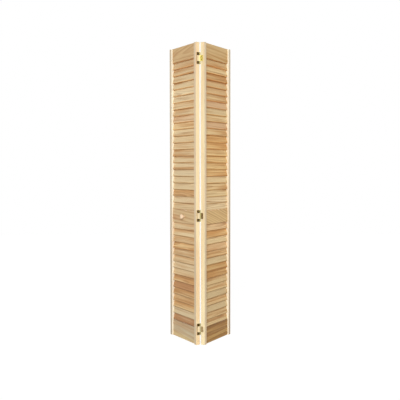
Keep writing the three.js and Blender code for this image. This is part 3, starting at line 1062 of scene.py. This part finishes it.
def hinge_screw_mesh():
    """A countersunk screw with its head at the origin and its tip towards -Z."""
    turns = [QUARTER_TURN * i / SCREW_DOME_STEPS for i in range(SCREW_DOME_STEPS)]
    profile = [
        (0, -SCREW_LENGTH),
        (SCREW_POINT_RADIUS, SCREW_POINT_HEIGHT - SCREW_LENGTH),
        (SCREW_SHANK_RADIUS, SCREW_TIP - SCREW_LENGTH),
        (SCREW_SHANK_RADIUS, -LEAF_THICKNESS),
        *((SCREW_HEAD_RADIUS * math.cos(a), SCREW_DOME * math.sin(a)) for a in turns),
        (0, SCREW_DOME),
    ]
    mesh = turned("hinge_screw", profile)
    for bar in cross_slots((SLOT_LENGTH, SLOT_WIDTH, SLOT_DEPTH), SCREW_DOME):
        mesh = joined("hinge_screw", mesh, bar, "DIFFERENCE")
    return smoothed(mesh)


def build_hinge_screws(material):
    """The screws of all leaves, each with its drive turned by chance."""
    pattern = hinge_screw_mesh()
    dice = random.Random("hinge screws")
    for node in sorted(frame["nodes"]):
        if "_screw_" not in node:
            continue
        side = "left" if "_outer_" in node else "right"
        low, high = shut_box(side, node)
        mesh = pattern.copy()
        mesh.transform(Matrix.Rotation(dice.uniform(0, math.pi), 4, "Z"))
        mesh.transform(Matrix.Rotation(-SIDES[side] * QUARTER_TURN, 4, "Y"))
        face = low.x if side == "right" else high.x
        mesh.transform(Matrix.Translation((face, (low.y + high.y) / 2, (low.z + high.z) / 2)))
        finished(node + "_detail", mesh, side, material, "screw_brass", node)


# Knob

KNOB_COLOURS = ((238, 213, 181), (230, 197, 162), (210, 170, 132))
KNOB_LOG_PLACE = (0, 0.02, 0.01)


def knob_wood():
    """The knob's wood, with its grain along the knob's axis."""
    turn = Matrix.Rotation(QUARTER_TURN, 3, "Z") @ along_panel("left")
    return wood("knob_wood", KNOB_COLOURS, turn, KNOB_LOG_PLACE)


def build_knob(material):
    low, high = shut_box("left", "knob")
    stem = [(KNOB_RADIUS * r, KNOB_PROJECTION * z) for r, z in KNOB_FOOT + KNOB_NECK]
    head = []
    for i in range(KNOB_HEAD_STEPS):
        angle = KNOB_HEAD_START + (QUARTER_TURN - KNOB_HEAD_START) * i / KNOB_HEAD_STEPS
        height = KNOB_HEAD_MIDDLE + KNOB_HEAD_REACH * math.sin(angle)
        head.append((KNOB_RADIUS * math.cos(angle) ** KNOB_HEAD_POWER, KNOB_PROJECTION * height))
    mesh = turned("knob", [(0, 0), *stem, *head, (0, KNOB_PROJECTION)], KNOB_SIDES)
    mesh.transform(Matrix.Rotation(QUARTER_TURN, 4, "X"))
    mesh.transform(Matrix.Translation(((low.x + high.x) / 2, high.y, (low.z + high.z) / 2)))
    finished("round_knob", smoothed(mesh, KNOB_SMOOTH_ANGLE), "left", material, "knob_wood", "knob")


def build_knob_screw(material):
    """The knob's screw, with its head behind the rail."""
    low, high = shut_box("left", "knob_screw")
    face = high.y - KNOB_SCREW_HEAD
    tip_width, tip_height = KNOB_SCREW_TIP
    profile = [
        (0, low.y),
        (KNOB_SCREW_RADIUS * tip_width, low.y),
        (KNOB_SCREW_RADIUS, low.y + KNOB_SCREW_RADIUS * tip_height),
        (KNOB_SCREW_RADIUS, face),
        (KNOB_SCREW_HEAD_RADIUS, face),
        *((KNOB_SCREW_HEAD_RADIUS * r, face + KNOB_SCREW_HEAD * z) for r, z in KNOB_SCREW_DOME),
        (0, high.y),
    ]
    mesh = turned("knob_screw", profile)
    slots = [KNOB_SCREW_HEAD_RADIUS * share for share in KNOB_SCREW_SLOTS]
    for bar in cross_slots(slots, high.y):
        mesh = joined("knob_screw", mesh, bar, "DIFFERENCE")
    mesh.transform(Matrix.Rotation(-QUARTER_TURN, 4, "X"))
    mesh.transform(Matrix.Translation(((low.x + high.x) / 2, 0, (low.z + high.z) / 2)))
    finished("knob_fixing_screw", smoothed(mesh), "left", material, "screw_brass", "knob_screw")


# Camera, floor and light


def add_camera():
    """The photograph's camera, in front of the hinge pins and looking a little down."""
    joint = Vector(frame["joints"][0]["pos_m"])
    data = bpy.data.cameras.new("photo_camera")
    data.sensor_width = SENSOR_WIDTH
    data.lens = SENSOR_WIDTH * FOCAL_PIXELS / PHOTO_WIDTH
    data.shift_y = (MIDDLE_ROW - PHOTO_WIDTH / 2) / PHOTO_WIDTH
    camera = bpy.data.objects.new("photo_camera", data)
    camera.location = (CAMERA_ASIDE, joint.y - CAMERA_DISTANCE, EYE_HEIGHT)
    camera.rotation_euler = (QUARTER_TURN - CAMERA_PITCH, CAMERA_ROLL, 0)
    bpy.context.scene.collection.objects.link(camera)
    bpy.context.scene.camera = camera


def seen_directly(tree):
    """1 for what the camera sees itself, or in metal, and 0 for what only lights the object."""
    path = add(tree, "ShaderNodeLightPath").outputs
    seen = maths(tree, "ADD", path["Is Camera Ray"], path["Is Glossy Ray"])
    return maths(tree, "MINIMUM", maths(tree, "ADD", seen, path["Is Transmission Ray"]), 1.0)


def add_floor():
    """A pale floor that shows almost as white as the backdrop."""
    half = FLOOR_SIZE / 2
    corners = [(-half, -half, 0), (half, -half, 0), (half, half, 0), (-half, half, 0)]
    mesh = bpy.data.meshes.new("floor")
    mesh.from_pydata(corners, [], [(0, 1, 2, 3)])
    floor = bpy.data.objects.new("floor", mesh)
    bpy.context.scene.collection.objects.link(floor)
    material, tree, _ = new_material("pale_floor")
    tree.nodes.clear()
    matt = add(tree, "ShaderNodeBsdfDiffuse", {"Color": (*FLOOR_COLOUR, 1)}).outputs[0]
    glow = add(tree, "ShaderNodeEmission", {"Color": WHITE, "Strength": FLOOR_GLOW_LEVEL}).outputs[0]
    share = maths(tree, "MULTIPLY", seen_directly(tree), FLOOR_GLOW_SHARE)
    mixed = add(tree, "ShaderNodeMixShader", {0: share, 1: matt, 2: glow}).outputs[0]
    add(tree, "ShaderNodeOutputMaterial", {"Surface": mixed})
    mesh.materials.append(material)


def add_light():
    """A white backdrop that lights less than it shows, and three broad lamps."""
    world = bpy.data.worlds.new("studio")
    world.use_nodes = True
    tree = world.node_tree
    tree.nodes.clear()
    sky = add(tree, "ShaderNodeBackground", {"Color": WHITE, "Strength": SKY_LEVEL}).outputs[0]
    backdrop = add(tree, "ShaderNodeBackground", {"Color": WHITE, "Strength": 1.0}).outputs[0]
    mixed = add(tree, "ShaderNodeMixShader", {0: seen_directly(tree), 1: sky, 2: backdrop}).outputs[0]
    add(tree, "ShaderNodeOutputWorld", {"Surface": mixed})
    bpy.context.scene.world = world

    for name, level, height, turn, spread in (
        ("key_light", KEY_LEVEL, KEY_HEIGHT_ANGLE, KEY_SIDE_ANGLE, KEY_SPREAD_ANGLE),
        ("fill_light", FILL_LEVEL, FILL_HEIGHT_ANGLE, FILL_SIDE_ANGLE, FILL_SPREAD_ANGLE),
        ("back_light", BACK_LEVEL, BACK_HEIGHT_ANGLE, BACK_SIDE_ANGLE, BACK_SPREAD_ANGLE),
    ):
        data = bpy.data.lights.new(name, "SUN")
        data.energy = level * math.pi
        data.angle = math.radians(spread)
        light = bpy.data.objects.new(name, data)
        light.rotation_euler = (QUARTER_TURN - math.radians(height), 0, math.radians(turn))
        bpy.context.scene.collection.objects.link(light)


add_camera()
add_floor()
add_light()
bpy.context.scene.view_settings.view_transform = "Standard"

paint_stiles()
paint_rails()
paint_dowels()
build_slats(wood("slat_wood", SLAT_COLOURS, lines=SLAT_LINES, varied=True))

plates = {name: plated(name + "_plate", **looks) for name, looks in PLATES.items()}
for hinge in HINGES:
    build_leaf(hinge, "left", plates["outer_leaf"])
    build_leaf(hinge, "right", plates[hinge + "_inner_leaf"])
    build_pin(hinge, plates["pin"])
build_hinge_screws(plates["screw"])
build_knob(knob_wood())
build_knob_screw(plates["screw"])
